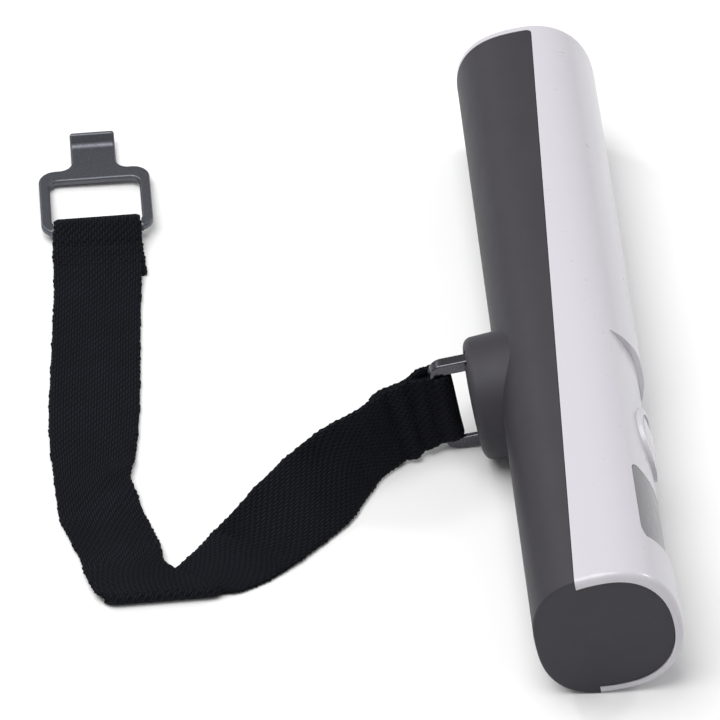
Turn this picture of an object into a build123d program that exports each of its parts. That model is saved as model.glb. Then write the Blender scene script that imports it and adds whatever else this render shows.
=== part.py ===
from build123d import *

import math
import os

# Digital luggage scale: a bar-shaped handle with a display, a boss and a load ring on its
# side, and a webbing strap with a flat hook.  Millimetres.
# Row frame: X along the bar, +X towards the exposed dark end face; +Z up from the table.
# The bar lies on its side, rolled until the rim of its boss rests on the table.
# Most pieces are drawn in the bar's frame (x along the bar, y towards the display, z across,
# origin on the bar's axis) and then placed in the row frame by place().

# ---------------------------------------------------------------- driving dimensions
bar_length = 165.0
half_height = 15.8            # across the bar, z
display_reach = 13.9          # axis to the display side, +y
boss_side_reach = 14.8        # axis to the boss side, -y
display_power = 2.3           # superellipse exponents of the two halves of the section
boss_side_power = 2.6
roll = 11.2                   # display side turned up, about +X
axis_height = 16.11           # of the bar's axis above the table
wall = 1.8
end_round = 1.3
part_gap = 0.12               # between neighbouring mouldings

seam_offset = -0.7            # the seam plane is y = seam_offset + seam_slope * x
seam_slope = -0.048

boss_x = 10.2
boss_radius = 12.4
boss_root_radius = 12.9
boss_face_y = -20.3
boss_rim_round = 1.9

panel_start = 10.0            # recessed display panel, along x
panel_end = 71.2
panel_radius = 25.4           # gentler crown than the bar's own section
panel_top_y = 12.7            # the panel's highest line
panel_slope = 1.4             # run of its end walls

lcd_start = 49.0
lcd_end = 69.2
lcd_half_width = 12.4         # its long sides lie along the panel's creases
lcd_corner = 2.2
lens_thickness = 1.2

button_x = 33.0
button_ring_radius = 7.4
button_radius = 6.0
button_rise = 1.1
button_travel = 0.6

webbing_width = 17.6
webbing_thickness = 1.1

ring_pivot_y = -12.3          # the load ring's hidden bar, held in the hanger
ring_outer_y = -27.8
ring_shift = 0.25             # the ring sits a little to one end of its slot, +z
ring_half_width = 11.5        # across, z
ring_arm = 2.7
ring_thickness = 2.6          # along x
ring_back_bevel = 1.5         # the frame's inner back edge
ring_bar_radius = 1.15
ring_swing = 4.0              # degrees each way, until an arm meets its slot

hook_at = (-57.87, -92.0)     # the hook's crossbar above the table
hook_height = 2.85
hook_roll = 1.6               # degrees, its +y side higher
hook_tilt = 4.15              # degrees, its tongue lower
hook_half_width = 11.66
hook_side_bar = 2.25
hook_far_bar = 3.65
hook_plate = 1.5
hook_edge = 0.5               # rounding of its edges
hook_length = 20.3            # crossbar to the far edge of its frame
hook_bar_half = 1.15
crossbar_radius = 1.05
tongue_offset = 0.18
tongue_half_width = 4.7
tongue_length = 27.2          # crossbar to where the tongue bends up
tongue_bend = 62.0            # degrees
tongue_bend_radius = 2.2
tongue_tip = 1.95             # straight end after the bend
loop_gap = 0.45               # webbing loop to crossbar
hook_side_gap = 0.35          # webbing to the frame's corners

fold_at = (51.0, -83.4)       # the strap's fold line crosses the table here
fold_turn = 4.0

end_wall = 1.3
far_wall = 2.1                # the cover closes the far end
dark_corner = 1.0             # where the seam turns down the far end
dark_edge = 0.45              # rounding of the dark end face
face_inset = 0.3              # the dark end face sits just inside the cover's rim
slot_side_gap = 0.72

pcb_start = 22.0
pcb_end = 73.4
pcb_top_y = 4.9
pcb_thickness = 1.2
lcd_low_y = 6.6
switch_top_y = 7.5
pcb_screw_axes = [(25.0, -7.6), (25.0, 7.6), (43.6, -8.0), (43.6, 8.0)]

beam_start = -34.0
beam_end = 18.0
beam_half = 5.5
beam_screw_xs = [-30.5, -22.5]
hanger_screw_xs = [6.8, 16.0]
hanger_thickness = 1.6

chassis_start = -36.0
chassis_end = 60.0
chassis_low_y = -10.2
chassis_top_y = -8.4
chassis_screw_axes = [(-12.0, 5.5), (-12.0, -5.5), (52.0, 5.5), (52.0, -5.5)]
plate_post_radius = 2.2

housing_screw_xs = [-72.0, 77.2]
housing_screw_z = -5.5
screw_post_radius = 2.6
screw_head_radius = 2.1
screw_seat_y = -10.5

battery_door_x = (-63.0, -37.0)
battery_door_y = (-8.64, -2.4)
battery_hinge_z = -13.14      # middle of the wall there; the door's barrel turns about it
battery_barrel_radius = 0.85
cell_middle = (-50.0, -6.3, -2.2)

wire_radius = 0.45

near_loop_radius = 2.05
near_stitch_end = ((15.7, -34.8, 1.6), (15.9, -40.6, 17.8))
near_edges = [
    ((20.1, -39.6, 0.8), (18.0, -46.2, 17.1)),
    ((25.6, -43.1, 0.7), (19.9, -51.4, 15.1)),
    ((31.2, -46.6, 0.7), (21.8, -57.0, 11.3)),
    ((36.5, -51.5, 0.7), (27.0, -63.8, 8.2)),
    ((41.8, -57.3, 0.7), (31.4, -70.6, 3.6)),
    ((44.5, -60.6, 0.7), (33.2, -74.0, 1.2)),
    ((47.2, -65.2, 0.7), (37.0, -78.6, 0.7)),
    ((49.6, -69.6, 0.7), (42.6, -85.6, 0.7)),
    ((50.2, -74.2, 0.7), (50.0, -92.0, 0.7))]
far_edges = [
    ((49.2, -74.6, 2.05), (49.4, -92.2, 2.05)),
    ((43.4, -80.6, 2.05), (46.5, -97.6, 1.9)),
    ((35.0, -84.8, 1.9), (37.3, -101.2, 1.3)),
    ((26.5, -86.9, 0.9), (28.5, -103.4, 0.7)),
    ((15.6, -89.0, 0.7), (14.6, -104.6, 0.7)),
    ((5.4, -87.4, 0.7), (4.6, -104.8, 0.7)),
    ((-23.5, -85.2, 0.7), (-24.9, -102.9, 0.7)),
    ((-42.0, -84.0, 0.8), (-43.2, -101.7, 0.8))]
far_loop_start = ((-55.9, -83.4, 2.3), (-56.3, -101.0, 1.9))
fold_height = 1.37
fold_radius = 0.66
fold_length = 20.4

os.makedirs("parts", exist_ok=True)


# ---------------------------------------------------------------- helpers
def place(shape):
    """Bar frame to row frame."""
    return Pos(0, 0, axis_height) * Rot(roll, 0, 0) * shape


def save(shape, name):
    """Write one piece, or a group of identical ones, as a flat list of solids."""
    solids = shape.solids()
    whole = solids[0] if len(solids) == 1 else Compound(solids)
    export_step(whole, f"parts/{name}.step")


def block(x0, x1, y0, y1, z0, z1):
    """A box from its limits."""
    size = (x1 - x0, y1 - y0, z1 - z0)
    middle = ((x0 + x1) / 2, (y0 + y1) / 2, (z0 + z1) / 2)
    return Pos(*middle) * Box(*size)


def rod(radius, start, end):
    """A cylinder between two points."""
    first = Vector(*start)
    axis = Vector(*end) - first
    plane = Plane(origin=first, z_dir=axis)
    return extrude(plane * Circle(radius), axis.length)


def section_point(angle, inset):
    """A point of the bar's section, y and z, at a superellipse angle."""
    c = math.cos(angle)
    s = math.sin(angle)
    reach = display_reach if c >= 0 else boss_side_reach
    power = display_power if c >= 0 else boss_side_power
    radius = (abs(c) ** power + abs(s) ** power) ** (-1 / power)
    return ((reach - inset) * radius * c, (half_height - inset) * radius * s)


def section_face(x, inset):
    """The bar's section as a face across the bar at x."""
    steps = 48
    points = []
    for i in range(steps):
        y, z = section_point(2 * math.pi * i / steps, inset)
        points.append((x, y, z))
    return make_face(Spline(*points, periodic=True))


def bar_prism(x0, x1, inset):
    return extrude(section_face(x0, inset), x1 - x0, dir=(1, 0, 0))


def seam_y(x):
    return seam_offset + seam_slope * x


def dark_region(gap):
    """All that belongs to the dark housing, drawn in plan and grown by a gap on every side."""
    start = -bar_length / 2 + far_wall - gap
    stop = bar_length
    low = -60.0
    outline = Polyline(
        (start, seam_y(start) + gap), (stop, seam_y(stop) + gap), (stop, low), (start, low),
        close=True)
    plan = make_face(outline)
    corner = plan.vertices().sort_by_distance((start, seam_y(start) + gap, 0))[0]
    plan = fillet(corner, dark_corner)
    return Pos(0, 0, -40) * extrude(plan, 80, dir=(0, 0, 1))


def end_rounded(solid, x, radius):
    """Round the outer edges of an end that lies in the plane at x."""
    edges = solid.edges().filter_by_position(Axis.X, x - 0.01, x + 0.01)
    return fillet(edges, radius)


# ---------------------------------------------------------------- shells of the bar
end_x = bar_length / 2
crown_axis_y = panel_top_y - panel_radius


def crown(radius, x0, x1):
    """The cylinder that the display panel's surface lies on."""
    return rod(radius, (x0, crown_axis_y, 0), (x1, crown_axis_y, 0))


def whole_bar():
    bar = bar_prism(-end_x, end_x, 0)
    bar = end_rounded(bar, -end_x, end_round)
    return end_rounded(bar, end_x, end_round)


def panel_cut():
    """What the display recess takes out of the bar."""
    top = display_reach + 1.0
    low = 6.0
    side = Polyline(
        (panel_start, top), (panel_end, top),
        (panel_end - panel_slope, panel_top_y), (panel_end - panel_slope, low),
        (panel_start + panel_slope, low), (panel_start + panel_slope, panel_top_y),
        close=True)
    tool = Pos(0, 0, -half_height) * extrude(make_face(side), 2 * half_height)
    return tool - crown(panel_radius, panel_start - 5, panel_end + 5)


def boss():
    base = -boss_side_reach + 6.0
    height = base - boss_face_y
    plane = Plane(origin=(boss_x, base, 0), x_dir=(1, 0, 0), z_dir=(0, -1, 0))
    top = plane.offset(height)
    body = loft([plane * Circle(boss_root_radius), top * Circle(boss_radius)])
    rim = body.edges().filter_by_position(Axis.Y, boss_face_y - 0.01, boss_face_y + 0.01)
    return fillet(rim, boss_rim_round)



def ring_slot():
    """The narrow slot in the boss that the load ring's arms pass through."""
    half_gap = ring_thickness / 2 + slot_side_gap
    half_long = ring_half_width + 0.35
    return block(boss_x - half_gap, boss_x + half_gap, boss_face_y - 1, -8, -half_long, half_long)


def hanger_pocket():
    """Room for the hanger between the ring's arms, behind the boss's face."""
    return block(boss_x - 4.4, boss_x + 4.4, boss_face_y + 3.6, -8, -5.0, 5.0)


def battery_opening(gap):
    """The slot under the battery door, on the housing's underside."""
    x0, x1 = battery_door_x
    y0, y1 = battery_door_y
    return block(x0 + gap, x1 - gap, y0, y1 - gap, -half_height - 2, -6)


def battery_barrel(gap):
    """The round edge that the battery door turns on, and with a gap, its groove."""
    x0, x1 = battery_door_x
    centre = (battery_door_y[0], battery_hinge_z)
    return rod(battery_barrel_radius + gap, (x0 + 0.2 - gap, *centre), (x1 - 0.2 + gap, *centre))


def screw_axes():
    return [(x, housing_screw_z) for x in housing_screw_xs]


def posts(radius, y0, y1, places):
    """Round posts along y, at places in x and z."""
    return [rod(radius, (x, y0, z), (x, y1, z)) for x, z in places]


# ---------------------------------------------------------------- housing and cover
outer = whole_bar()
cavity = bar_prism(-end_x + far_wall, end_x + 1, wall)
boss_side = dark_region(-part_gap / 2)
display_side = block(-end_x, end_x, -40, 40, -40, 40) - dark_region(part_gap / 2)


def lower_housing():
    face_x = end_x - face_inset
    inner_x = face_x - end_wall
    dark_bar = end_rounded(bar_prism(-end_x, face_x, 0), face_x, dark_edge)
    shell = dark_bar & boss_side
    shell = shell - bar_prism(-end_x, inner_x, wall)
    end_plate = bar_prism(inner_x, face_x, wall + part_gap)
    body = shell + end_plate + (boss() - bar_prism(-end_x, end_x, wall))
    root = posts(plate_post_radius, -boss_side_reach + 1, chassis_low_y, chassis_screw_axes)
    for post in root:
        body = body + (post & outer)
    for post in posts(screw_post_radius, -boss_side_reach + 1, -3.0, screw_axes()):
        body = body + (post & outer)
    body = body - ring_slot() - hanger_pocket() - battery_opening(0) - battery_barrel(0.2)
    for x, z in screw_axes():
        body = body - rod(1.3, (x, -20, z), (x, 0, z))
        body = body - rod(screw_head_radius + 0.2, (x, -20, z), (x, screw_seat_y, z))
    for x, z in chassis_screw_axes:
        body = body - rod(0.9, (x, -12.9, z), (x, 0, z))
    return body


def upper_cover():
    thick_panel = block(panel_start - 2, panel_end + 2, 4, 20, -20, 20)
    thick_panel = thick_panel - crown(panel_radius - 1.7, panel_start - 5, panel_end + 5)
    body = (outer & display_side) - (cavity - thick_panel)
    body = body - panel_cut()
    collar = rod(button_ring_radius, (button_x, 9, 0), (button_x, panel_top_y + 2, 0))
    collar = collar & crown(panel_radius + 0.8, button_x - 10, button_x + 10)
    collar = collar - crown(panel_radius - 1.7, panel_start, panel_end)
    body = body + collar
    body = body - rod(button_radius + 0.15, (button_x, 5, 0), (button_x, 20, 0))
    body = body - lcd_window(0)
    for post in posts(screw_post_radius, -2.9, 11.0, screw_axes()):
        body = body + (post & outer & display_side)
    for x, z in screw_axes():
        body = body - rod(1.0, (x, -4, z), (x, 9.0, z))
    for post in posts(2.2, pcb_top_y + 0.03, 11.5, pcb_screw_axes):
        body = body + (post & crown(panel_radius - 0.5, panel_start, panel_end))
    for x, z in pcb_screw_axes:
        body = body - rod(0.95, (x, 4, z), (x, 8.0, z))
    return body


def lcd_window(gap):
    """The rounded opening over the display, drawn from above the panel."""
    length = lcd_end - lcd_start - 2 * gap
    width = 2 * (lcd_half_width - gap)
    plane = Plane(origin=((lcd_start + lcd_end) / 2, 4, 0), x_dir=(1, 0, 0), z_dir=(0, 1, 0))
    return extrude(plane * RectangleRounded(length, width, lcd_corner), 16)


def lcd_lens():
    skin = crown(panel_radius - 0.05, lcd_start - 2, lcd_end + 2)
    skin = skin - crown(panel_radius - lens_thickness, lcd_start - 3, lcd_end + 3)
    return skin & lcd_window(part_gap)


# ---------------------------------------------------------------- display and electronics
def lcd_panel():
    return block(lcd_start + 0.6, lcd_end - 0.6, lcd_low_y, lcd_low_y + 2.2, -9.8, 9.8)


def lcd_backlight():
    return block(lcd_start + 0.6, lcd_end - 0.6, lcd_low_y - 1.5, lcd_low_y - 0.05, -9.8, 9.8)


def lcd_frame():
    frame = block(lcd_start - 1.2, lcd_end + 1.2, pcb_top_y + 0.02, lcd_low_y + 1.4, -10.9, 10.9)
    window = block(lcd_start + 0.5, lcd_end - 0.5, 0, 20, -9.9, 9.9)
    return frame - window


def zebra_strip():
    """Rubber contact strip that joins the glass to the board, beside the backlight."""
    return block(lcd_end + 1.4, lcd_end + 3.2, pcb_top_y + 0.02, lcd_low_y + 1.2, -8.5, 8.5)


def main_pcb():
    board = block(pcb_start, pcb_end, pcb_top_y - pcb_thickness, pcb_top_y, -10.4, 10.4)
    for x, z in pcb_screw_axes:
        board = board - rod(1.2, (x, 0, z), (x, 8, z))
    return board


def pcb_parts():
    """Resistors, capacitors and the crystal on the board's underside."""
    low = pcb_top_y - pcb_thickness - 0.02
    chips = []
    for i in range(4):
        x = 56.6 + 3.2 * i
        chips.append(block(x, x + 1.6, low - 0.6, low, 6.4, 7.2))
        chips.append(block(x, x + 1.2, low - 0.8, low, -7.4, -5.6))
    chips.append(rod(1.1, (36, low - 1.12, -8), (36, low - 1.12, -1.5)))
    return Compound(children=chips)


def controller_chip():
    """The potted blob over the controller."""
    low = pcb_top_y - pcb_thickness
    blob = Pos(50, low, 0) * Sphere(5.4)
    return blob & block(40, 60, low - 1.6, low - 0.02, -10, 10)


def tact_switch():
    base = block(button_x - 3, button_x + 3, pcb_top_y + 0.02, pcb_top_y + 2.2, -3, 3)
    return base + rod(1.7, (button_x, pcb_top_y + 2.1, 0), (button_x, switch_top_y, 0))


def power_button():
    """Domed cap with a flange that keeps it in and a stem over the switch."""
    dome_y = panel_top_y + button_rise
    dome_radius = 22.0
    cap = rod(button_radius, (button_x, 9.0, 0), (button_x, dome_y + 1, 0))
    cap = cap & (Pos(button_x, dome_y - dome_radius, 0) * Sphere(dome_radius))
    flange = block(button_x - 6.2, button_x + 6.2, 8.4, 9.4, -5.6, 5.6)
    stem = rod(1.6, (button_x, switch_top_y + button_travel + 0.1, 0), (button_x, 9.2, 0))
    return cap + flange + stem


# ---------------------------------------------------------------- weighing parts
def load_cell():
    """Bending beam with two joined bores that thin its top and bottom."""
    beam = block(beam_start, beam_end, -beam_half, beam_half, -beam_half, beam_half)
    middle = (beam_start + beam_end) / 2
    for side in (-1, 1):
        x = middle + 5.5 * side
        beam = beam - rod(4.3, (x, 0, -10), (x, 0, 10))
    beam = beam - block(middle - 5.5, middle + 5.5, -1.5, 1.5, -10, 10)
    for x in beam_screw_xs + hanger_screw_xs:
        beam = beam - rod(1.5, (x, -10, 0), (x, 10, 0))
    return beam


def strain_gauges():
    """Foil gauges glued over the thin places, under a coat of sealant."""
    middle = (beam_start + beam_end) / 2
    pads = []
    for side in (-1, 1):
        x = middle + 5.5 * side
        pads.append(block(x - 3, x + 3, beam_half + 0.02, beam_half + 0.5, -3, 3))
        pads.append(block(x - 3, x + 3, -beam_half - 0.5, -beam_half - 0.02, -3, 3))
    return Compound(children=pads)


def beam_spacer():
    spacer = block(beam_start, beam_start + 15, chassis_top_y + 0.02, -beam_half - 0.02, -5.5, 5.5)
    for x in beam_screw_xs:
        spacer = spacer - rod(1.7, (x, -12, 0), (x, 0, 0))
    return spacer


def chassis_plate():
    """Steel strip that spreads the load along the grip."""
    plate = block(chassis_start, chassis_end, chassis_low_y + 0.02, chassis_top_y, -8.6, 8.6)
    plate = plate - block(boss_x - 5.2, boss_x + 5.2, -20, 0, -5.2, 5.2)
    for x in beam_screw_xs:
        plate = plate - rod(1.7, (x, -20, 0), (x, 0, 0))
    for x, z in chassis_screw_axes:
        plate = plate - rod(1.3, (x, -20, z), (x, 0, z))
    return plate


def hanger():
    """Bent steel strap under the beam's free end; its J holds the ring's hidden bar."""
    flat_top = -beam_half - 0.04
    flat_low = flat_top - hanger_thickness
    inner = ring_bar_radius + 0.08
    outside = inner + hanger_thickness
    pivot = (boss_x, ring_pivot_y)
    curl = rod(outside, (*pivot, -4), (*pivot, 4)) - rod(inner, (*pivot, -5), (*pivot, 5))
    curl = curl - block(boss_x - 6, boss_x, ring_pivot_y + 0.8, 0, -6, 6)
    curl = curl - block(boss_x - 1, boss_x + inner, ring_pivot_y, 0, -6, 6)
    leg = block(boss_x + inner, boss_x + outside, ring_pivot_y, flat_top, -4, 4)
    curl = curl - block(boss_x, boss_x + 6, ring_pivot_y, 0, -6, 6)
    flat = block(beam_end - 13.5, beam_end, flat_low, flat_top, -4, 4)
    body = curl + leg + flat
    for x in hanger_screw_xs:
        body = body - rod(1.6, (x, -10, 0), (x, 0, 0))
    return body


def screw(x, z, head_y, tip_y, shank_radius, head_radius, head_height):
    """A pan-head screw along y; the head is at head_y and the shank runs to tip_y."""
    way = 1 if tip_y > head_y else -1
    head = rod(head_radius, (x, head_y - way * head_height, z), (x, head_y, z))
    slot = block(x - head_radius, x + head_radius, -0.4, 0.4, z - 0.3, z + 0.3)
    slot = Pos(0, head_y - way * head_height, 0) * slot
    return head - slot + rod(shank_radius, (x, head_y, z), (x, tip_y, z))


def housing_screws():
    return Compound(children=[
        screw(x, z, screw_seat_y - 0.02, 7.5, 0.95, screw_head_radius, 1.4) for x, z in screw_axes()])


def chassis_screws():
    return Compound(children=[
        screw(x, z, chassis_top_y + 0.02, -12.6, 0.85, 2.0, 1.2) for x, z in chassis_screw_axes])


def beam_screws():
    return Compound(children=[
        screw(x, 0, chassis_low_y, 0.5, 1.45, 2.6, 1.1) for x in beam_screw_xs])


def hanger_screws():
    head_y = -beam_half - 0.06 - hanger_thickness
    return Compound(children=[
        screw(x, 0, head_y, 1.5, 1.45, 1.9, 0.9) for x in hanger_screw_xs])


def pcb_screws():
    return Compound(children=[
        screw(x, z, pcb_top_y - pcb_thickness - 0.02, 7.0, 0.9, 1.7, 0.9)
        for x, z in pcb_screw_axes])


# ---------------------------------------------------------------- battery
def coin_cell():
    x, y, z = cell_middle
    can = rod(10.0, (x, y - 1.6, z), (x, y + 1.3, z))
    return can + rod(8.4, (x, y + 1.2, z), (x, y + 1.6, z))


def battery_holder():
    """Plastic pocket round the coin cell, open to the door."""
    x, y, z = cell_middle
    shape = block(x - 11.4, x + 11.4, y - 2.6, y + 3.0, z - 6.5, z + 10.9)
    room = rod(10.25, (x, y - 1.75, z), (x, y + 1.75, z))
    room = room + block(x - 10.25, x + 10.25, y - 1.75, y + 1.75, z - 20, z)
    shape = shape - room
    window = block(x - 5, x + 5, y + 1, y + 5, z - 20, z + 5)
    return shape - window - block(x - 5, x + 5, y - 5, y - 1, z - 20, z + 5)


def contact(y0, y1):
    """Sprung metal tongue against a face of the coin cell."""
    x, y, z = cell_middle
    return block(x - 2.5, x + 2.5, y0, y1, z - 4, z + 4.5)


def battery_door():
    """Curved lid that continues the housing's wall and turns on its barrel."""
    x0, x1 = battery_door_x
    skin = bar_prism(x0, x1, 0) - bar_prism(x0 - 1, x1 + 1, wall)
    return (skin & battery_opening(0.2)) + battery_barrel(0)


# ---------------------------------------------------------------- wires
def wire(route):
    """A thin insulated wire along a route, with bends as large as its runs allow."""
    radii = []
    for i in range(1, len(route) - 1):
        before = Vector(*route[i]) - Vector(*route[i - 1])
        after = Vector(*route[i + 1]) - Vector(*route[i])
        turn = math.radians(before.get_angle(after))
        radii.append(0.45 * min(before.length, after.length) / math.tan(turn / 2))
    path = FilletPolyline(*route, radius=radii)
    start = Plane(origin=route[0], z_dir=Vector(*route[1]) - Vector(*route[0]))
    return sweep(start * Circle(wire_radius), path)


def sensor_wires():
    """Four wires from the strain gauges to the top of the board."""
    strands = []
    for z in (-3.3, -1.1, 1.1, 3.3):
        strands.append(wire([
            (-4.5, 6.6, 0.6 * z), (4.0, 8.2, 0.7 * z), (13.0, 8.0, 1.1 * z),
            (19.5, 6.4, z), (25.2, 5.4, z)]))
    return Compound(children=strands)


def battery_wires():
    """Two wires from the holder's contacts, beside the beam, to the board's edge."""
    strands = []
    for shift in (0, 1.5):
        strands.append(wire([
            (-38.3, -4.6, 5.6 + shift), (-31.0, -2.6, 7.6 + shift), (-18.0, 0.6, 8.0 + shift),
            (-4.0, 1.6, 7.4 + shift), (10.0, 3.4, 7.7 + shift), (21.9, 4.3, 6.4 + shift)]))
    return Compound(children=strands)


# ---------------------------------------------------------------- load ring, strap and hook
def frame_bar(u0, u1, half, thickness, width, corner):
    """A flat rectangular frame in the u-v plane, from u0 to u1 and half each way in v."""
    middle = (u0 + u1) / 2
    long = abs(u1 - u0)
    big = Pos(middle, 0) * RectangleRounded(long, 2 * half, corner)
    small = Pos(middle, 0) * RectangleRounded(long - 2 * width, 2 * (half - width), corner - width + 1)
    return extrude(big - small, thickness / 2, both=True)


def load_ring():
    """Closed frame across the bar: outside it carries the strap, inside it hangs in the J."""
    inner_edge = ring_pivot_y + ring_arm / 2
    plate = frame_bar(ring_outer_y, inner_edge, ring_half_width, ring_thickness, ring_arm, 3.0)
    back = plate.faces().sort_by(Axis.Z)[0]
    plate = chamfer(back.inner_wires()[0].edges(), ring_back_bevel)
    front = plate.faces().sort_by(Axis.Z)[-1]
    back = plate.faces().sort_by(Axis.Z)[0]
    edges = front.edges() + back.outer_wire().edges()
    plate = Pos(0, ring_shift) * fillet(edges, 0.4)
    frame = Plane(origin=(boss_x, 0, 0), x_dir=(0, 1, 0), z_dir=(1, 0, 0)) * plate
    reach = ring_half_width - ring_arm
    low = ring_shift - reach
    high = ring_shift + reach
    outer_bar_y = ring_outer_y + ring_bar_radius
    for y in (ring_pivot_y, outer_bar_y):
        frame = frame - block(boss_x - 3, boss_x + 3, y - 2, y + 3, low, high)
        frame = frame + rod(ring_bar_radius, (boss_x, y, low - 1), (boss_x, y, high + 1))
    return frame


def ribbon(stations):
    """A flat strip through pairs of edge points: (one edge, other edge, thickness)."""
    faces = []
    last = len(stations) - 1
    for i, (one, other, thick) in enumerate(stations):
        before = stations[max(i - 1, 0)]
        after = stations[min(i + 1, last)]
        along = (Vector(*after[0]) + Vector(*after[1])) - (Vector(*before[0]) + Vector(*before[1]))
        a = Vector(*one)
        b = Vector(*other)
        normal = (b - a).cross(along).normalized() * (thick / 2)
        faces.append(make_face(Polyline(a - normal, b - normal, b + normal, a + normal, close=True)))
    return loft(faces, ruled=True)


def bar_point(x, y, z):
    """A point of the bar's frame in the row frame, as a tuple."""
    turned = place(Vertex(x, y, z)).center()
    return (turned.X, turned.Y, turned.Z)


def strap_near():
    """Loop round the ring, doubled and stitched, then single and twisting down flat."""
    bar_y = ring_outer_y + ring_bar_radius
    half = ring_half_width - ring_arm - 0.1
    inner = near_loop_radius
    outside = inner + webbing_thickness
    low = ring_shift - half
    high = ring_shift + half
    loop = rod(outside, (boss_x, bar_y, low), (boss_x, bar_y, high))
    loop = loop - rod(inner, (boss_x, bar_y, low - 1), (boss_x, bar_y, high + 1))
    start_y = bar_y - inner - 0.5
    first = (bar_point(boss_x, start_y, low), bar_point(boss_x, start_y, high), 2.8)
    double = ribbon([first, (*near_stitch_end, 2 * webbing_thickness)])
    single = ribbon([(*near_stitch_end, webbing_thickness)] + [
        (one, other, webbing_thickness) for one, other in near_edges])
    return place(loop) + double + single


def strap_fold():
    """The rolled edge where the strap turns back over itself."""
    run = Location((fold_at[0], fold_at[1], fold_height), (0, 0, fold_turn))
    return run * Rot(90, 0, 0) * Cylinder(fold_radius, fold_length)


def at_hook(shape):
    """From the hook's own frame (crossbar along y, tongue towards -x) to the row frame."""
    lean = Rot(hook_roll, 0, 0) * Rot(0, -hook_tilt, 0)
    return Pos(*hook_at, hook_height) * lean * shape


def strap_far():
    """The strip back from the fold to the hook, ending in a stitched loop."""
    strip = ribbon([(one, other, webbing_thickness) for one, other in far_edges])
    double = ribbon([(*far_edges[-1], webbing_thickness), (*far_loop_start, 2 * webbing_thickness)])
    inner = crossbar_radius + loop_gap
    half = webbing_width / 2
    loop = rod(inner + webbing_thickness, (0, -half, 0), (0, half, 0))
    loop = loop - rod(inner, (0, -half - 1, 0), (0, half + 1, 0))
    return strip + double + at_hook(loop)


def hook_plan():
    """The hook's flat part: a rounded frame and its tongue, joined by fillets."""
    frame_middle = (hook_bar_half - hook_length) / 2
    outside = Pos(frame_middle, 0) * RectangleRounded(
        hook_bar_half + hook_length, 2 * hook_half_width, 3.6)
    far_edge = -hook_length + hook_far_bar
    near_edge = -hook_bar_half
    opening = Pos((far_edge + near_edge) / 2, 0) * RectangleRounded(
        near_edge - far_edge, 2 * (hook_half_width - hook_side_bar), 2.0)
    start = -hook_length + 1
    tongue = Pos((start - tongue_length) / 2, tongue_offset) * Rectangle(
        tongue_length + start, 2 * tongue_half_width)
    plan = outside + tongue - opening
    corners = []
    for vertex in plan.vertices():
        beside = abs(vertex.Y - tongue_offset) < tongue_half_width + 0.1
        if beside and abs(vertex.X + hook_length) < 0.05:
            corners.append(vertex)
    return fillet(corners, 2.6)


def bent_tip():
    """The tongue's bend and the straight end after it."""
    side = Plane(
        origin=(-tongue_length, tongue_offset, tongue_bend_radius),
        x_dir=(1, 0, 0), z_dir=(0, -1, 0))
    half = hook_plate / 2
    turn = math.radians(tongue_bend)
    across = math.sin(turn)
    down = math.cos(turn)
    arc = Circle(tongue_bend_radius + half) - Circle(tongue_bend_radius - half)
    wedge = make_face(Polyline(
        (0, 0), (0, -9), (-9 * across - 2, -9), (-9 * across, -9 * down), close=True))
    bend = extrude(side * (arc & wedge), tongue_half_width, both=True)
    end = side * Location((-tongue_bend_radius * across, -tongue_bend_radius * down), -tongue_bend)
    straight = end * (Pos(-tongue_tip / 2, 0) * Rectangle(tongue_tip, hook_plate))
    tip = extrude(straight, tongue_half_width, both=True)
    through = []
    for edge in tip.edges():
        if abs(edge.length - hook_plate) < 0.01:
            through.append(edge)
    corners = ShapeList(through).sort_by(Axis.Z)[-2:]
    return bend + fillet(corners, 0.6)


def strap_hook():
    """Flat hook whose near bar sits in the strap's loop."""
    hook = extrude(hook_plan(), hook_plate / 2, both=True) + bent_tip()
    bend_start = -tongue_length
    rounded = []
    for edge in hook.edges():
        a = edge @ 0
        b = edge @ 1
        upright = abs(a.X - b.X) < 0.001 and abs(a.Y - b.Y) < 0.001
        across = abs(a.X - b.X) < 0.001 and abs(a.Z - b.Z) < 0.001
        in_bend = bend_start - 2.8 < a.X < bend_start + 0.2
        through_tip = a.X < bend_start - 2.8 and abs(edge.length - hook_plate) < 0.05
        if not upright and not through_tip and not (across and in_bend):
            rounded.append(edge)
    hook = fillet(rounded, hook_edge)
    reach = webbing_width / 2 + hook_side_gap
    hook = hook - block(-3, hook_bar_half + 1, -reach, reach, -3, 3)
    bar = rod(crossbar_radius, (0, -reach - 0.4, 0), (0, reach + 0.4, 0))
    return at_hook(hook + bar)


# ---------------------------------------------------------------- write the pieces
bar_pieces = {
    "lower_housing": lower_housing,
    "upper_cover": upper_cover,
    "lcd_lens": lcd_lens,
    "lcd_panel": lcd_panel,
    "lcd_backlight": lcd_backlight,
    "lcd_frame": lcd_frame,
    "zebra_strip": zebra_strip,
    "main_pcb": main_pcb,
    "pcb_parts": pcb_parts,
    "controller_chip": controller_chip,
    "tact_switch": tact_switch,
    "power_button": power_button,
    "load_cell": load_cell,
    "strain_gauges": strain_gauges,
    "beam_spacer": beam_spacer,
    "chassis_plate": chassis_plate,
    "hanger": hanger,
    "housing_screws": housing_screws,
    "chassis_screws": chassis_screws,
    "beam_screws": beam_screws,
    "hanger_screws": hanger_screws,
    "pcb_screws": pcb_screws,
    "coin_cell": coin_cell,
    "battery_holder": battery_holder,
    "battery_door": battery_door,
    "sensor_wires": sensor_wires,
    "battery_wires": battery_wires,
    "load_ring": load_ring,
}

for name, make in bar_pieces.items():
    save(place(make()), name)

cell_y = cell_middle[1]
save(place(contact(cell_y + 1.65, cell_y + 2.0)), "contact_positive")
save(place(contact(cell_y - 2.0, cell_y - 1.65)), "contact_negative")

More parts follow.
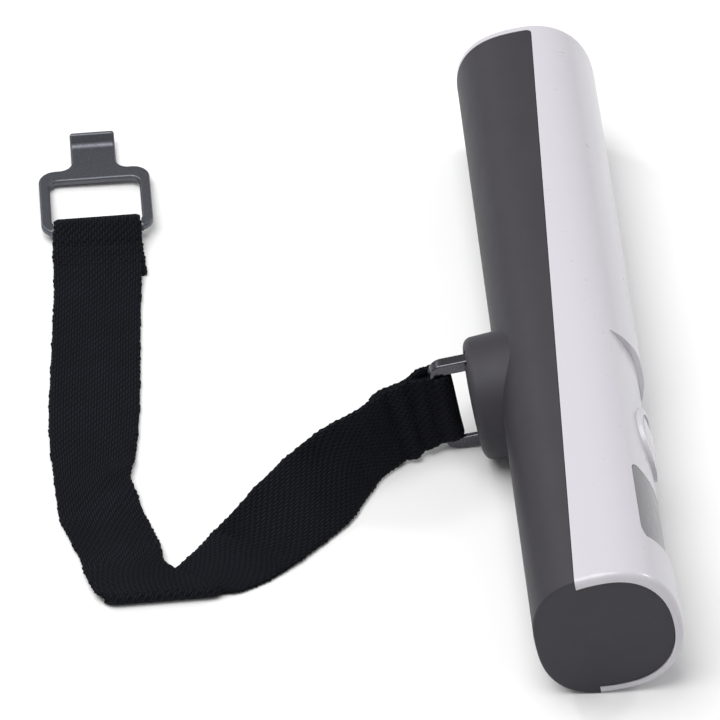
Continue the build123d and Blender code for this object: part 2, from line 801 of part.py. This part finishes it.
save(strap_near(), "strap_near")
save(strap_fold(), "strap_fold")
save(strap_far(), "strap_far")
save(strap_hook(), "strap_hook")
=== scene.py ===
import math
import random

import bpy
from mathutils import Matrix, Vector


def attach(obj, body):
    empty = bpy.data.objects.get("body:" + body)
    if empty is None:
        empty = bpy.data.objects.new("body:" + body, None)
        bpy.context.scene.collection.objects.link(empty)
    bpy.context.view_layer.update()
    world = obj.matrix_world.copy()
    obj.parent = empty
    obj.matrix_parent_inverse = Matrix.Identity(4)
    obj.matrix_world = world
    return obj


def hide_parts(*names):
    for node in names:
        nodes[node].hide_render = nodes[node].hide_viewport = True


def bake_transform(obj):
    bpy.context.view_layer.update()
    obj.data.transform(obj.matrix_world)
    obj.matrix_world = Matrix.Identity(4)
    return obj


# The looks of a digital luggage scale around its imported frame: webbing, stitches, materials,
# floor, lights and camera.  Lengths are written in millimetres and turned to metres by MM.
MM = 0.001

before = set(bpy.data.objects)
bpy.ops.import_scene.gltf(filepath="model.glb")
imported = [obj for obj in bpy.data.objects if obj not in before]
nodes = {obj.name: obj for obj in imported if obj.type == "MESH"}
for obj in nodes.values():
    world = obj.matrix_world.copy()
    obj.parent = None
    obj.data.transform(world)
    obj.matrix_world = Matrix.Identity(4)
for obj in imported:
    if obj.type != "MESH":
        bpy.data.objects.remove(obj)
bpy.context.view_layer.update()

BAR_ROLL = math.radians(11.2)
BAR_AXIS_Z = 16.11
BAR_TO_ROW = Matrix.Translation((0, 0, BAR_AXIS_Z)) @ Matrix.Rotation(BAR_ROLL, 4, "X")


# ---------------------------------------------------------------- materials
class Graph:
    """A material's node tree, with short names for what is used here."""

    def __init__(self, name):
        self.material = bpy.data.materials.new(name)
        self.material.use_nodes = True
        self.tree = self.material.node_tree
        self.shader = self.tree.nodes["Principled BSDF"]

    def node(self, kind, **settings):
        made = self.tree.nodes.new(kind)
        for key, value in settings.items():
            setattr(made, key, value)
        return made

    def link(self, output, socket):
        self.tree.links.new(output, socket)

    def maths(self, operation, first, second=0.0):
        """An operation on one or two numbers or sockets."""
        made = self.node("ShaderNodeMath", operation=operation)
        for socket, value in zip(made.inputs, (first, second)):
            if isinstance(value, (int, float)):
                socket.default_value = value
            else:
                self.link(value, socket)
        return made.outputs[0]

    def noise(self, size, detail=2.0):
        """Noise whose features are about size millimetres across."""
        made = self.node("ShaderNodeTexNoise")
        made.inputs["Scale"].default_value = 1.0 / (size * MM)
        made.inputs["Detail"].default_value = detail
        self.link(self.node("ShaderNodeTexCoord").outputs["Object"], made.inputs["Vector"])
        return made.outputs["Fac"]

    def ramp(self, fac, low, high, dark, light):
        """Colour from dark at low to light at high."""
        made = self.node("ShaderNodeValToRGB")
        made.color_ramp.elements[0].position = low
        made.color_ramp.elements[0].color = (*dark, 1)
        made.color_ramp.elements[1].position = high
        made.color_ramp.elements[1].color = (*light, 1)
        self.link(fac, made.inputs["Fac"])
        return made.outputs["Color"]

    def spread(self, fac, low, high):
        """A 0..1 value spread from low to high."""
        made = self.node("ShaderNodeMapRange")
        made.inputs["To Min"].default_value = low
        made.inputs["To Max"].default_value = high
        self.link(fac, made.inputs["Value"])
        return made.outputs["Result"]

    def bump(self, height, depth, below=None):
        """Bump of depth millimetres, on top of the bump below."""
        made = self.node("ShaderNodeBump")
        made.inputs["Distance"].default_value = depth * MM
        self.link(height, made.inputs["Height"])
        if below is not None:
            self.link(below, made.inputs["Normal"])
        return made.outputs["Normal"]

    def set(self, **values):
        """The shader's own sockets, named with underscores for spaces."""
        for key, value in values.items():
            self.shader.inputs[key.replace("_", " ")].default_value = value


def shades(colour, amount):
    """A darker and a lighter version of a colour."""
    darker = tuple(c * (1 - amount) for c in colour)
    lighter = tuple(min(1, c * (1 + amount)) for c in colour)
    return darker, lighter


def moulded(name, colour, roughness, grain, depth, vary=0.04, coat=0.0, gloss=0.5, uneven=0.05):
    """Moulded plastic: faint mottling, a fine spark-eroded grain and uneven gloss."""
    g = Graph(name)
    dark, light = shades(colour, vary)
    g.link(g.ramp(g.noise(6.0, 3.0), 0.3, 0.7, dark, light), g.shader.inputs["Base Color"])
    g.link(g.spread(g.noise(2.5, 4.0), roughness - uneven, roughness + uneven),
           g.shader.inputs["Roughness"])
    g.link(g.bump(g.noise(grain, 3.0), depth), g.shader.inputs["Normal"])
    g.set(Coat_Weight=coat, Coat_Roughness=0.12, Specular_IOR_Level=gloss)
    return g.material


def metal(name, colour, roughness, grain, depth, speckle=0.12):
    """Plated or milled metal with a fine speckle."""
    uneven = 0.07
    g = Graph(name)
    dark, light = shades(colour, speckle)
    g.link(g.ramp(g.noise(grain, 4.0), 0.35, 0.65, dark, light), g.shader.inputs["Base Color"])
    g.link(g.spread(g.noise(grain * 3, 3.0), roughness - uneven, roughness + uneven),
           g.shader.inputs["Roughness"])
    g.link(g.bump(g.noise(grain, 4.0), depth), g.shader.inputs["Normal"])
    g.set(Metallic=1.0)
    return g.material


def clear(name, colour, roughness):
    """Glass or clear plastic with a faint haze."""
    g = Graph(name)
    dark, light = shades(colour, 0.03)
    g.link(g.ramp(g.noise(3.0), 0.3, 0.7, dark, light), g.shader.inputs["Base Color"])
    g.link(g.spread(g.noise(5.0), roughness, roughness + 0.05), g.shader.inputs["Roughness"])
    g.set(Transmission_Weight=0.6, IOR=1.5)
    return g.material


COLUMN = 0.55                 # width of a warp column
FLOAT = 1.6                   # length of a warp float
STAGGER = 0.375               # of a float, from one column to the next
WOBBLE = 0.25                 # of a column, either way
WEAVE_DEPTH = 0.22
FUZZ_DEPTH = 0.05
# the webbing's colour in the weave's hollows, darkened as painted shade, and its colour on the
# float tops
WEBBING_HOLLOW_SHADE = (0.0008, 0.0009, 0.0014)
WEBBING_LIGHT = (0.0115, 0.0125, 0.0195)


def woven():
    """Black webbing: narrow columns of staggered warp floats, mapped in millimetres on the mesh;
    its colour is darkened in the weave's hollows as painted shade and is lighter on the float tops.
    """
    g = Graph("webbing_weave")
    split = g.node("ShaderNodeSeparateXYZ")
    g.link(g.node("ShaderNodeUVMap", uv_map="strap_mm").outputs["UV"], split.inputs["Vector"])
    wobble = g.spread(g.noise(1.2, 2.0), -WOBBLE, WOBBLE)
    columns = g.maths("ADD", g.maths("MULTIPLY", split.outputs["Y"], 1 / COLUMN), wobble)
    stagger = g.maths("MULTIPLY", g.maths("FLOOR", columns), STAGGER)
    floats = g.maths("ADD", g.maths("MULTIPLY", split.outputs["X"], 1 / FLOAT), stagger)
    ridge = g.maths("SINE", g.maths("MULTIPLY", g.maths("FRACT", columns), math.pi))
    bead = g.maths("SINE", g.maths("MULTIPLY", g.maths("FRACT", floats), math.pi))
    height = g.maths("SQRT", g.maths("MULTIPLY", ridge, bead))
    fuzz = g.noise(0.2, 4.0)
    # colour follows the weave's height: painted shade darkens the hollows between columns and
    # floats, the float tops stay lighter, and the fuzz varies it at random
    colour = g.ramp(g.maths("MULTIPLY", height, g.spread(fuzz, 0.3, 1.3)), 0.1, 0.95,
                    WEBBING_HOLLOW_SHADE, WEBBING_LIGHT)
    tint = g.node("ShaderNodeMix", data_type="RGBA", blend_type="MULTIPLY")
    tint.inputs["Factor"].default_value = 1.0
    g.link(colour, tint.inputs["A"])
    g.link(g.ramp(g.noise(9.0, 3.0), 0.3, 0.7, (0.8, 0.8, 0.8), (1.15, 1.15, 1.15)),
           tint.inputs["B"])
    g.link(tint.outputs["Result"], g.shader.inputs["Base Color"])
    g.link(g.spread(fuzz, 0.6, 0.8), g.shader.inputs["Roughness"])
    g.link(g.bump(height, WEAVE_DEPTH, below=g.bump(fuzz, FUZZ_DEPTH)), g.shader.inputs["Normal"])
    g.set(Specular_IOR_Level=0.09)
    return g.material


HOUSING = (0.036, 0.0335, 0.041)
COVER = (0.56, 0.545, 0.585)

housing_plastic = moulded("housing_plastic", HOUSING, 0.55, 0.22, 0.012, 0.04, gloss=0.3)
cover_plastic = moulded("cover_plastic", COVER, 0.28, 0.9, 0.0006, 0.004, 0.15, uneven=0.015)
button_plastic = moulded("button_plastic", COVER, 0.24, 0.9, 0.0006, 0.004, 0.2, uneven=0.015)
lens_plastic = moulded("lens_plastic", (0.105, 0.102, 0.12), 0.25, 1.5, 0.003, 0.03, 0.1)
hook_metal = metal("hook_metal", (0.128, 0.131, 0.149), 0.48, 0.25, 0.012, 0.2)
ring_metal = metal("ring_metal", (0.095, 0.094, 0.106), 0.27, 0.2, 0.006)
black_plastic = moulded("black_plastic", (0.02, 0.02, 0.022), 0.5, 0.3, 0.01)
board_green = moulded("board_green", (0.02, 0.13, 0.06), 0.35, 1.2, 0.01, 0.1)
plain_steel = metal("plain_steel", (0.5, 0.5, 0.52), 0.3, 0.4, 0.005)
milled_alloy = metal("milled_alloy", (0.72, 0.72, 0.74), 0.35, 0.5, 0.008)
brass_strip = metal("brass_strip", (0.7, 0.62, 0.4), 0.3, 0.4, 0.004)
elastomer = moulded("elastomer", (0.1, 0.1, 0.1), 0.7, 0.3, 0.01)
white_diffuser = moulded("white_diffuser", (0.85, 0.85, 0.83), 0.4, 0.6, 0.006, 0.01)
gauge_sealant = moulded("gauge_sealant", (0.75, 0.70, 0.55), 0.3, 0.6, 0.02, 0.05)
wire_red = moulded("wire_red", (0.35, 0.02, 0.02), 0.45, 0.4, 0.005)
lcd_glass = clear("lcd_glass", (0.6, 0.65, 0.6), 0.05)

MATERIALS = {
    "lower_housing": housing_plastic,
    "battery_door": housing_plastic,
    "upper_cover": cover_plastic,
    "power_button": button_plastic,
    "lcd_lens": lens_plastic,
    "strap_hook": hook_metal,
    "load_ring": ring_metal,
    "main_pcb": board_green,
    "lcd_panel": lcd_glass,
    "lcd_backlight": white_diffuser,
    "zebra_strip": elastomer,
    "load_cell": milled_alloy,
    "beam_spacer": milled_alloy,
    "strain_gauges": gauge_sealant,
    "contact_positive": brass_strip,
    "contact_negative": brass_strip,
    "sensor_wires": wire_red,
    "battery_wires": wire_red,
}
for name in ("lcd_frame", "pcb_parts", "controller_chip", "tact_switch", "battery_holder"):
    MATERIALS[name] = black_plastic
for name in ("chassis_plate", "hanger", "coin_cell", "housing_screws", "chassis_screws",
             "beam_screws", "hanger_screws", "pcb_screws"):
    MATERIALS[name] = plain_steel

for name, material in MATERIALS.items():
    node = nodes[name]
    node.data.materials.clear()
    node.data.materials.append(material)


# ---------------------------------------------------------------- webbing
WIDTH = 17.6
THICK = 1.1
FINE = 40                     # points of the spline between two selvage pairs
STEP = 0.25                   # between rows of the mesh, along the strap
COLUMNS = 28                  # quads across a face
ROUNDING = 0.92               # of the half width, where a selvage starts to round off
SELVAGE = 0.88                # of the half width, where the selvage's unevenness starts
SCALLOP_PITCH = 1.3           # the weft's turns along a selvage
SCALLOP = 0.28
FRAY = 0.03                   # random unevenness of a selvage, either way
LAYER_GAP = 1.15              # between the middles of two stitched layers

# the loop round the load ring's outer bar, from the bar's middle
RING_X = 10.2
RING_BAR_Y = -26.65
RING_SHIFT = 0.25
LOOP_FRONT = 1.9              # the loop's middle line: flat in front, bulging behind
LOOP_BACK = 2.7
LOOP_INWARD = 2.6
LOOP_HALF = 8.65

# the loop round the hook's crossbar
HOOK_AT = Vector((-57.87, -92.0, 2.85))
HOOK_ROLL = math.radians(1.6)
HOOK_TILT = math.radians(4.15)
HOOK_LOOP = 2.05
HOOK_HALF = 8.8

STITCHES = 7                  # in a row
STITCH_SPAN = 0.9             # of the half width, to the ends of a row
STITCH_HALF = 0.95            # half of a stitch's length
STITCH_RADIUS = 0.2
RING_ROWS = (1.5, 5.2, 9.8)   # stitch rows, from where the webbing leaves the ring's bar
RING_PULL = 0.75              # how deep these rows pull the webbing in
RING_VALLEY = 1.3             # how wide the valley beside a row is
HOOK_ROWS = (-47.9, -50.5, -53.1)    # stitch rows, by their x
HOOK_PULL = 0.3
HOOK_VALLEY = 0.7

HOLLOW_AT = 24                # where the twist hollows the near strap, from the ring's bar
HOLLOW_DEPTH = 0.7
HOLLOW_LENGTH = 7
FOLD_BULGE = 0.67             # how far the fold stands out from its two ends
CREASE_X = 21.4               # the slanting crease in the far strap
CREASE_SLANT = 6.2
RIDGE_AWAY = 3.4              # the low ridges that flank it, from the crease
RIDGE_HEIGHT = 0.55
RIDGE_LENGTH = 2.4


def from_bar(x, y, z):
    """A point of the bar's frame in the row frame, in millimetres."""
    return BAR_TO_ROW @ Vector((x, y, z))


def hook_point(x, y, z):
    """A point given from the hook's crossbar."""
    lean = Matrix.Rotation(HOOK_ROLL, 3, "X") @ Matrix.Rotation(-HOOK_TILT, 3, "Y")
    return HOOK_AT + lean @ Vector((x, y, z))


def catmull(points, t):
    """Catmull-Rom through points, at t counted in points."""
    i = min(int(t), len(points) - 2)
    s = t - i
    p1 = points[i]
    p2 = points[i + 1]
    p0 = points[i - 1] if i > 0 else p1 * 2 - p2
    p3 = points[i + 2] if i + 2 < len(points) else p2 * 2 - p1
    return 0.5 * (2 * p1 + (p2 - p0) * s + (2 * p0 - 5 * p1 + 4 * p2 - p3) * s ** 2
                  + (3 * p1 - p0 - 3 * p2 + p3) * s ** 3)


class Run:
    """A strap's course through pairs of selvage points, in even rows.

    rows are pairs of points, places their millimetres along the strap, counted from start, and
    pair_places the places of the given pairs.
    """

    def __init__(self, pairs, start=0.0):
        ones = [Vector(a) for a, b in pairs]
        others = [Vector(b) for a, b in pairs]
        fine = [(catmull(ones, k / FINE), catmull(others, k / FINE))
                for k in range((len(pairs) - 1) * FINE + 1)]
        self.rows = [fine[0]]
        self.places = [start]
        self.pair_places = [start]
        gone = 0.0
        total = start
        for k, (before, after) in enumerate(zip(fine, fine[1:]), 1):
            step = ((after[0] + after[1]) / 2 - (before[0] + before[1]) / 2).length
            gone += step
            total += step
            if gone >= STEP or k == len(fine) - 1:
                self.rows.append(after)
                self.places.append(total)
                gone = 0.0
            if k % FINE == 0:
                self.pair_places.append(total)
        self.end = total
        self.length = total - start

    def frame_at(self, i):
        """Middle, half of the width across, direction along and normal of row i."""
        before = self.rows[max(i - 1, 0)]
        after = self.rows[min(i + 1, len(self.rows) - 1)]
        one, other = self.rows[i]
        along = ((after[0] + after[1]) - (before[0] + before[1])).normalized()
        across = (other - one) / 2
        return (one + other) / 2, across, along, across.cross(along).normalized()

    def nearest(self, place):
        """The row nearest to a place."""
        return min(range(len(self.places)), key=lambda i: abs(self.places[i] - place))


def section():
    """Points round a strap's section, across and through, from one selvage over the top."""
    points = []
    for k in range(COLUMNS + 1):
        s = -1 + 2 * k / COLUMNS
        edge = max(0.0, (abs(s) - ROUNDING) / (1 - ROUNDING))
        points.append((s, THICK / 2 * math.sqrt(max(0.0, 1 - 0.8 * edge ** 2))))
    return points + [(a, -b) for a, b in reversed(points)]


def selvage(place, shift, wild):
    """How far a selvage stands out: the weft's turns, and a slower unevenness."""
    turns = SCALLOP * (abs(math.sin(math.pi * place / SCALLOP_PITCH + shift)) - 0.6)
    slow = 0.15 * math.sin(place / 2.1 + 3 * shift) + 0.1 * math.sin(place / 0.83 + shift)
    return wild * (turns + slow)


def strip(name, run, relief, wild=1.0, drift=0.0):
    """A webbing strap along a run.

    relief(place, s) moves its faces along the normal, s from -1 to 1 across; wild scales the
    unevenness of its selvages; drift slants the weave.
    """
    chance = random.Random(name)
    outline = section()
    count = len(outline)
    verts = []
    uvs = []
    for i, place in enumerate(run.places):
        middle, across, along, normal = run.frame_at(i)
        side = across.normalized()
        lean = across.dot(along)
        grow = [selvage(place, shift, wild) + chance.uniform(-FRAY, FRAY) * wild
                for shift in (0.0, 1.1)]
        for s, through in outline:
            reach = max(0.0, abs(s) - SELVAGE) / (1 - SELVAGE) * grow[0 if s < 0 else 1]
            lift = relief(place, s)
            out = side * math.copysign(reach, s)
            verts.append((middle + across * s + out + normal * (through + lift)) * MM)
            uvs.append((place + lean * s, s * WIDTH / 2 + drift * (place - run.places[0])))
    faces = []
    for i in range(len(run.rows) - 1):
        for k in range(count):
            n = (k + 1) % count
            faces.append((i * count + k, i * count + n, (i + 1) * count + n, (i + 1) * count + k))
    faces.append(tuple(reversed(range(count))))
    faces.append(tuple((len(run.rows) - 1) * count + k for k in range(count)))
    return piece(name, verts, faces, weave, uvs)


def piece(name, verts, faces, material, uvs=None):
    """A smooth-shaded object, with its own map of millimetres where uvs are given."""
    mesh = bpy.data.meshes.new(name)
    mesh.from_pydata([tuple(v) for v in verts], [], faces)
    if uvs:
        layer = mesh.uv_layers.new(name="strap_mm")
        for loop in mesh.loops:
            layer.data[loop.index].uv = uvs[loop.vertex_index]
    for polygon in mesh.polygons:
        polygon.use_smooth = True
    mesh.validate()
    made = bpy.data.objects.new(name, mesh)
    bpy.context.scene.collection.objects.link(made)
    mesh.materials.append(material)
    return made


def stitches(name, run, places, depths):
    """Rows of thread across a strap, one at each place, on faces at depths along the normal."""
    verts = []
    faces = []
    for place in places:
        middle, across, along, normal = run.frame_at(run.nearest(place))
        side = across.normalized()
        for depth in depths:
            for k in range(STITCHES):
                s = -STITCH_SPAN + 2 * STITCH_SPAN * (k + 0.5) / STITCHES
                at = middle + across * s + normal * depth
                bead(verts, faces, at, side * STITCH_HALF, along * STITCH_RADIUS,
                     normal * STITCH_RADIUS)
    return piece(name, verts, faces, thread)


def bead(verts, faces, at, long, wide, high):
    """A small ellipsoid given by its three half axes."""
    first = len(verts)
    rings, around = 5, 8
    for i in range(rings + 1):
        tilt = math.pi * i / rings
        for k in range(around):
            turn = 2 * math.pi * k / around
            spoke = wide * math.cos(turn) + high * math.sin(turn)
            point = at + long * math.cos(tilt) + spoke * math.sin(tilt)
            verts.append(point * MM)
    for i in range(rings):
        for k in range(around):
            n = (k + 1) % around
            low = first + i * around
            faces.append((low + k, low + n, low + around + n, low + around + k))


def valley(distance, width):
    """1 at no distance, fading out over width."""
    return math.exp(-(distance / width) ** 2)


def behind(pairs, gap):
    """The same pairs moved by gap against their normal."""
    course = Run(pairs)
    moved = []
    for place in course.pair_places:
        i = course.nearest(place)
        back = course.frame_at(i)[3] * gap
        one, other = course.rows[i]
        moved.append((one - back, other - back))
    return moved


def ring_pair(degrees):
    """Where the webbing lies on the load ring's outer bar."""
    turn = math.radians(degrees)
    x = RING_X + (LOOP_FRONT if math.cos(turn) > 0 else LOOP_BACK) * math.cos(turn)
    y = RING_BAR_Y + LOOP_INWARD * math.sin(turn)
    return from_bar(x, y, RING_SHIFT - LOOP_HALF), from_bar(x, y, RING_SHIFT + LOOP_HALF)


def hook_pair(degrees):
    """Where the webbing lies on the hook's crossbar."""
    turn = math.radians(degrees)
    x = HOOK_LOOP * math.cos(turn)
    z = HOOK_LOOP * math.sin(turn)
    return hook_point(x, HOOK_HALF, z), hook_point(x, -HOOK_HALF, z)


# Pairs of selvage points.  The near strap's are its lower and its upper selvage: two stitched
# layers by the load ring, where the tail ends, and one layer from there to the fold.
RING_RUN = [
    ((12.5, -26.5, 2.3), (11.5, -29.2, 19.4)),
    ((13.0, -28.8, 1.8), (11.4, -31.2, 19.1)),
    ((14.0, -30.4, 1.5), (11.5, -33.6, 18.8)),
    ((14.8, -31.8, 1.2), (12.4, -36.3, 18.3)),
    ((15.6, -34.8, 0.9), (14.0, -39.4, 17.9))]
TAIL_END = ((16.0, -35.6, 1.0), (14.9, -40.4, 17.2))
NEAR_RUN = [
    ((17.8, -37.4, 0.8), (15.9, -42.2, 17.5)),
    ((20.1, -39.6, 0.7), (17.5, -44.8, 17.1)),
    ((25.6, -43.0, 0.7), (19.7, -50.8, 15.2)),
    ((31.2, -46.4, 0.7), (21.6, -57.0, 11.3)),
    ((36.5, -51.5, 0.7), (27.1, -63.9, 8.6)),
    ((41.8, -57.3, 0.7), (31.8, -71.3, 3.0)),
    ((44.5, -60.6, 0.7), (32.9, -73.6, 1.2)),
    ((47.4, -65.2, 0.7), (36.9, -76.9, 0.7)),
    ((49.3, -69.4, 0.7), (42.2, -82.0, 0.7)),
    ((49.6, -71.8, 0.7), (46.4, -89.4, 0.7)),
    ((49.6, -73.0, 0.7), (50.4, -96.0, 0.7))]
# the far strap's upper layer, from the fold to the hook: the selvage beside the bar, then the other
FAR_RUN = [
    ((49.6, -73.0, 2.05), (50.4, -96.0, 2.05)),
    ((47.4, -76.3, 2.05), (49.0, -97.4, 1.95)),
    ((44.4, -80.6, 2.0), (46.3, -98.5, 1.7)),
    ((40.9, -83.8, 1.9), (41.9, -99.6, 1.4)),
    ((36.3, -84.3, 1.5), (37.3, -100.4, 1.0)),
    ((31.7, -85.4, 1.1), (32.2, -102.0, 0.8)),
    ((27.0, -86.8, 0.9), (26.6, -103.6, 0.7)),
    ((21.5, -88.1, 1.2), (20.6, -104.0, 0.7)),
    ((15.2, -89.2, 1.2), (14.0, -104.3, 0.7)),
    ((11.0, -88.2, 0.9), (9.6, -104.5, 0.7)),
    ((5.4, -87.4, 0.8), (4.4, -104.7, 0.7)),
    ((-6.5, -86.2, 0.65), (-7.5, -104.3, 0.65)),
    ((-23.4, -85.2, 0.65), (-24.4, -103.0, 0.65)),
    ((-36.0, -84.4, 0.7), (-36.8, -102.1, 0.7)),
    ((-42.0, -83.9, 1.1), (-42.6, -101.7, 1.1)),
    ((-46.0, -83.6, 1.75), (-46.4, -101.6, 1.75)),
    ((-51.5, -83.3, 2.1), (-51.8, -101.5, 2.0)),
    ((-54.6, -83.2, 3.3), (-54.9, -101.4, 3.0))]
# its lower layer, from the hook's crossbar back to the tail's end
HOOK_TAIL = [
    ((-55.0, -83.0, 0.75), (-55.2, -100.9, 0.7)),
    ((-50.0, -82.8, 0.65), (-50.2, -100.6, 0.65)),
    ((-45.6, -82.6, 0.65), (-45.9, -100.4, 0.65))]


def near_pairs():
    """The tail behind, round the ring's outer bar, then the twisting run down to the fold."""
    tail = behind(RING_RUN[2:] + [TAIL_END], LAYER_GAP)
    return (list(reversed(tail))
            + [((9.6, -27.8, 2.0), (8.4, -31.0, 19.4))]
            + [ring_pair(degrees) for degrees in range(200, -15, -20)]
            + RING_RUN + NEAR_RUN)


def far_pairs():
    """From the fold over the near run, along to the hook's crossbar, round it and back beneath."""
    return FAR_RUN + [hook_pair(degrees) for degrees in range(75, 270, 20)] + HOOK_TAIL


def fold_pairs():
    """Half a turn, from the lower run's end up to the upper one's start."""
    low_one, low_other = [Vector(p) for p in NEAR_RUN[-1]]
    high_one, high_other = [Vector(p) for p in FAR_RUN[0]]
    pairs = []
    for degrees in range(-90, 91, 15):
        turn = math.radians(degrees)
        rise = (1 + math.sin(turn)) / 2
        out = Vector((FOLD_BULGE * math.cos(turn), 0, 0))
        pairs.append((low_one.lerp(high_one, rise) + out, low_other.lerp(high_other, rise) + out))
    return pairs


thread = moulded("stitch_thread", (0.006, 0.0065, 0.009), 0.7, 0.15, 0.02, 0.2, gloss=0.1)
weave = woven()

near_run = Run(near_pairs())
loop_exit = near_run.pair_places[len(near_pairs()) - len(RING_RUN + NEAR_RUN) - 1]
ring_stitches = [loop_exit + distance for distance in RING_ROWS]


def near_relief(place, s):
    """The stitch rows pull the front layer in; lower down the twist leaves a hollow."""
    pulled = sum(RING_PULL * valley(place - row, RING_VALLEY) for row in ring_stitches)
    hollow = HOLLOW_DEPTH * valley(place - loop_exit - HOLLOW_AT, HOLLOW_LENGTH) * (1 - s * s)
    ripple = 0.1 * math.sin(place / 3.1 + 2 * s)
    return ripple - pulled - hollow


fold_run = Run(fold_pairs(), near_run.end)


def fold_relief(place, s):
    """Rounds the rolled edge off towards both of its ends."""
    share = (place - fold_run.places[0]) / fold_run.length
    corner = max(0.0, abs(s) - 0.8) / 0.2
    return (0.9 if s > 0 else 0.7) * corner ** 2 * math.sin(math.pi * share)


far_run = Run(far_pairs(), fold_run.end)


def far_place(x):
    """Where the far run's upper layer first passes x."""
    return next(place for place, (one, other) in zip(far_run.places, far_run.rows)
                if (one + other).x / 2 < x)


hook_stitches = [far_place(x) for x in HOOK_ROWS]
crease = far_place(CREASE_X)


def far_relief(place, s):
    """Its normal points down: the stitch rows sink, and two low ridges flank a slanting crease."""
    sunk = sum(HOOK_PULL * valley(place - row, HOOK_VALLEY) for row in hook_stitches)
    from_crease = place - crease + CREASE_SLANT * s
    ridges = RIDGE_HEIGHT * (valley(from_crease - RIDGE_AWAY, RIDGE_LENGTH)
                             + valley(from_crease + RIDGE_AWAY, RIDGE_LENGTH))
    return sunk - ridges * (0.6 - 0.4 * s)


near = strip("webbing_near", near_run, near_relief)
near_thread = stitches("stitches_near", near_run, ring_stitches,
                       (THICK / 2 - RING_PULL, -THICK / 2 - LAYER_GAP - 0.1))
fold = strip("webbing_fold", fold_run, fold_relief, wild=0.2, drift=0.9)
far = strip("webbing_far", far_run, far_relief)
far_thread = stitches("stitches_far", far_run, hook_stitches, (-THICK / 2 + HOOK_PULL,))

for body, strap, sewn in (("strap_near", near, near_thread), ("strap_far", far, far_thread)):
    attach(strap, body)
    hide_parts(body)
    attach(sewn, body)
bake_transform(fold)
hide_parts("strap_fold")


# ---------------------------------------------------------------- floor, lights, camera
FLOOR_SIZE = 6                # metres, as are the lamps' sizes and places
SKY = 0.38                    # strength of the even light all round
AIM = (0, -0.04, 0)           # what the lamps point at

CAMERA_AIM = Vector((-16.15, -40.62, 0.35))
CAMERA_ELEVATION = math.radians(42.5)
CAMERA_AZIMUTH = math.radians(-4.5)
CAMERA_DISTANCE = 1.3385      # metres
FOCAL_LENGTH = 328.28
SENSOR = 36


def studio():
    """A pale floor and an even white surround."""
    bpy.ops.mesh.primitive_plane_add(size=FLOOR_SIZE)
    floor = bpy.context.object
    floor.name = "floor"
    g = Graph("floor_paint")
    g.link(g.ramp(g.noise(80.0), 0.3, 0.7, (0.87, 0.87, 0.87), (0.9, 0.9, 0.9)),
           g.shader.inputs["Base Color"])
    g.set(Roughness=0.9, Specular_IOR_Level=0.1)
    floor.data.materials.append(g.material)
    bpy.context.scene.view_settings.view_transform = "Standard"
    world = bpy.data.worlds.new("studio")
    bpy.context.scene.world = world
    world.use_nodes = True
    background = world.node_tree.nodes["Background"]
    background.inputs["Color"].default_value = (1, 1, 1, 1)
    background.inputs["Strength"].default_value = SKY


def lamp(name, place, size, power):
    """A round soft lamp, power in watts."""
    data = bpy.data.lights.new(name, "AREA")
    data.shape = "DISK"
    data.size = size
    data.energy = power
    lamp_object = bpy.data.objects.new(name, data)
    lamp_object.location = place
    lamp_object.rotation_euler = (Vector(AIM) - Vector(place)).to_track_quat("-Z", "Y").to_euler()
    bpy.context.scene.collection.objects.link(lamp_object)


def camera():
    """A long lens, looking down at the display's end of the bar."""
    back = Vector((math.cos(CAMERA_ELEVATION) * math.cos(CAMERA_AZIMUTH),
                   math.cos(CAMERA_ELEVATION) * math.sin(CAMERA_AZIMUTH),
                   math.sin(CAMERA_ELEVATION)))
    data = bpy.data.cameras.new("camera")
    data.sensor_width = SENSOR
    data.lens = FOCAL_LENGTH
    data.clip_start = 0.05
    data.clip_end = 20
    eye = bpy.data.objects.new("camera", data)
    eye.location = CAMERA_AIM * MM + back * CAMERA_DISTANCE
    eye.rotation_euler = (-back).to_track_quat("-Z", "Y").to_euler()
    bpy.context.scene.collection.objects.link(eye)
    bpy.context.scene.camera = eye


studio()
lamp("key", (0.1, -0.4, 1.3), 1.2, 17)
lamp("left edge", (-0.8, -0.9, 0.9), 0.25, 4)
lamp("right edge", (-0.5, 1.0, 0.7), 0.3, 3)
camera()
